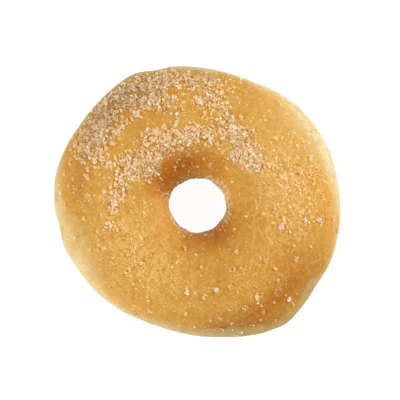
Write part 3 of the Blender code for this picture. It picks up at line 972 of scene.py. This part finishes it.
def add_bump(tree, shader, height, depth):
    """Fine relief in a material."""
    bump = add_node(tree, "ShaderNodeBump", Height=height, Distance=depth, Strength=1.0)
    feed(tree, shader.inputs["Normal"], bump.outputs["Normal"])


def crust_material():
    """Fried crust: golden on top, browner in places, pale along the band, and milky under the sugar, with
    painted shade in the crease, the hole and between sugar clots, painted light on the hole's wall and in
    lighter patches, and painted highlights on the glaze's ridges.
    """
    material, tree, shader = new_material("fried_crust", GOLDEN)
    pale, cream, tan, brown, fold = surface_values(tree, "pale", "cream", "tan", "brown", "fold")
    sugar, glaze, ridge, rim, hole = surface_values(tree, "sugar", "glaze", "ridge", "rim", "hole")
    browner, lighter = maths("MAXIMUM", 0.0, brown), maths("MAXIMUM", 0.0, -brown)
    speckle, pit, pore, clot = (spots(tree, name) for name in ("speckles", "pits", "pores", "film clots"))
    thread = thin_lines(pattern(tree, "threads"), THREAD_WIDTH)
    cloud = pattern(tree, "clouds")
    cream_clouds = smooth_step(pale, *CREAM_LEVELS) * cream * smooth_step(cloud, *CREAM_CLOUD_LEVELS)
    film = smooth_step(sugar, *FILM_LEVELS)
    share = CRUST_SHARES
    caked = smooth_step(sugar, *CAKED_LEVELS) * (share["caked"] + share["caked brown"] * browner)
    gap_shade_colour = mix(tree, browner, PIT_AND_GAP_SHADE, DARK_GAP_SHADE)
    milk_and_shade_colour = mix(tree, browner, MILK, PAINTED_SHADE_MILK)
    layers = (
        (spots(tree, "mottle"), DEEP_GOLDEN),
        # Browner and lighter patches: partly real browning, partly painted shade and painted light
        (browner, BROWN_AND_SHADE),
        (lighter, LIGHT_GOLDEN_AND_PAINTED_LIGHT),
        (glaze * share["glaze"], DEEP_GOLDEN),
        # Painted shade in the glaze's pits
        (pit * glaze * share["pit"], PIT_AND_GAP_SHADE),
        (speckle * (share["stray speckle"] + share["speckle"] * glaze), LIGHT_AMBER_AND_HIGHLIGHT),
        # Painted highlights along the glaze's ridges and threads
        ((ridge + thread * glaze * share["thread"]) * share["ridge"], LIGHT_AMBER_AND_HIGHLIGHT),
        (pale, YELLOW_CREAM),
        (cream_clouds, CREAM),
        # Tan band edge: partly painted shade under the fold
        (pale * tan * smooth_step(cloud, *TAN_CLOUD_LEVELS), TAN_AND_SHADE),
        (pale * pore * share["pore"], HONEY),
        (pale * spots(tree, "streaks") * share["streak"], HONEY),
        # Painted light on the hole's wall, over its paler skin
        (pale * hole, HOLE_CREAM_AND_LIGHT),
        # Painted shade in the crease above the band
        (fold, FOLD_SHADE_BROWN),
        # Painted shade in the gaps between sugar clots
        (film * share["gap"] * (1.0 - clot), gap_shade_colour),
        (film * share["clot"] * clot + caked, milk_and_shade_colour),
        # Painted shade in the hole, partly darker fried crust below the waist
        (rim, RIM_SHADE_BROWN),
    )
    feed(tree, shader.inputs["Base Color"], layered(tree, GOLDEN, layers))
    least, spread = CRUST_ROUGHNESS
    feed(tree, shader.inputs["Roughness"], least + spread * pattern(tree, "crust roughness"))
    for name, value in CRUST_FINISH.items():
        shader.inputs[name].default_value = value
    bump = BUMP_SHARES
    in_glaze = thread * bump["thread"] + speckle * bump["speckle"] - pit * bump["pit"]
    height = pattern(tree, "crust grain") + in_glaze * glaze - pore * pale * bump["pore"]
    add_bump(tree, shader, height, CRUST_BUMP)
    return material


def sugar_material(name, thin, dull, bright, roughness):
    """Sugar grains: each between a dull and a bright tint, and nearer the crust's where they lie thin, with
    warm painted shade on their steep faces, in the browner patches and near the hole's waist.
    """
    material, tree, shader = new_material(name, bright)
    cloud = pattern(tree, "grain clouds") - 0.5
    tint, sugar, pale, brown, upward, rim = surface_values(
        tree, "tint", "sugar", "pale", "brown", "upward", "rim")
    browner = maths("MAXIMUM", 0.0, brown)
    share = GRAIN_SHARES
    cover = sugar + pale + share["thin tint"] * (tint - 0.5)
    thinness = (1.0 - smooth_step(cover, *THIN_LEVELS)) * share["thin"]
    layers = (
        (tint + cloud * share["cloud"], bright),
        # Painted shade on the grains' steep faces
        (share["steep"] - share["steep"] * smooth_step(upward, *UPWARD_LEVELS), SUGAR_SIDE_SHADE),
        # Grains in the browner patches take darker milky tints, partly painted shade
        (browner * share["brown"], mix(tree, tint, PAINTED_SHADE_MILK, MILK)),
        (smooth_step(pale, *SIDE_LEVELS), CREAM_SUGAR),
        # Painted shade on the grains near the hole's waist
        (rim * share["rim"], BROWN_AND_SHADE),
        (thinness, mix(tree, browner * share["thin brown"], thin, BROWN_AND_SHADE)),
    )
    feed(tree, shader.inputs["Base Color"], layered(tree, dull, layers))
    feed(tree, shader.inputs["Roughness"], roughness + GRAIN_ROUGHNESS_SPREAD * cloud)
    add_bump(tree, shader, pattern(tree, "grain facets"), GRAIN_BUMP)
    return material


def finish_piece(piece):
    """Moves a piece from the ring's middle to the solid's frame, hangs it under the root body and hides the
    solid's doughnut part.
    """
    piece.data.transform(Matrix.Translation(-outline_middle()))
    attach(piece, "root")
    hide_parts("doughnut")


def add_softbox(name, azimuth, elevation, power, side):
    """A square soft light, aimed at the ring."""
    lamp = bpy.data.lights.new(name, "AREA")
    lamp.energy = power
    lamp.size = side
    box = add_object(name, lamp)
    azimuth, elevation = math.radians(azimuth), math.radians(elevation)
    flat = math.cos(elevation)
    place = Vector((flat * math.cos(azimuth), flat * math.sin(azimuth), math.sin(elevation))) * SOFTBOX_REACH
    box.location = place
    box.rotation_euler = place.to_track_quat("Z", "Y").to_euler()


def set_stage():
    """The floor, the soft studio light and the camera straight above."""
    bpy.ops.mesh.primitive_plane_add(size=FLOOR_SIDE)
    floor = bpy.context.active_object
    floor.name = "studio_floor"
    material, tree, shader = new_material("studio_floor", FLOOR_COLOUR)
    shader.inputs["Base Color"].default_value = FLOOR_COLOUR
    shader.inputs["Roughness"].default_value = FLOOR_ROUGHNESS
    shader.inputs["Emission Color"].default_value = WHITE
    shader.inputs["Emission Strength"].default_value = FLOOR_GLOW
    floor.data.materials.append(material)
    for softbox in SOFTBOXES:
        add_softbox(*softbox)
    world = bpy.data.worlds.new("studio_room")
    world.use_nodes = True
    background = world.node_tree.nodes["Background"]
    background.inputs["Color"].default_value = WHITE
    background.inputs["Strength"].default_value = ROOM_LIGHT
    bpy.context.scene.world = world
    bpy.context.scene.view_settings.view_transform = "Standard"
    camera = add_object("camera", bpy.data.cameras.new("camera"))
    camera.data.lens = CAMERA_LENS
    camera.data.clip_end = VIEW_DEPTH
    camera.location = PICTURE_MIDDLE - outline_middle()
    camera.location.z = RING_SIZES["Under drop"] + CAMERA_RISE
    bpy.context.scene.camera = camera


def main():
    crust = make_crust()
    dry = sugar_material("dry_sugar", SUGAR_AMBER, SUGAR_CREAM, SUGAR_WHITE, DRY_ROUGHNESS)
    melted = sugar_material("melted_sugar", AMBER, AMBER, LIGHT_AMBER_AND_HIGHLIGHT, MELTED_ROUGHNESS)
    grains = [make_coarse_crystals(dry),
              scatter("dry_sugar", crust, DRY_SUGAR, crystal_shape, dry),
              scatter("fine_sugar", crust, FINE_SUGAR, crystal_shape, dry),
              scatter("melted_sugar", crust, MELTED_SUGAR, bead_shape, melted)]
    grains[-1].data.shade_smooth()
    finish_piece(crust)
    for piece in grains:
        finish_piece(piece)
    set_stage()


main()
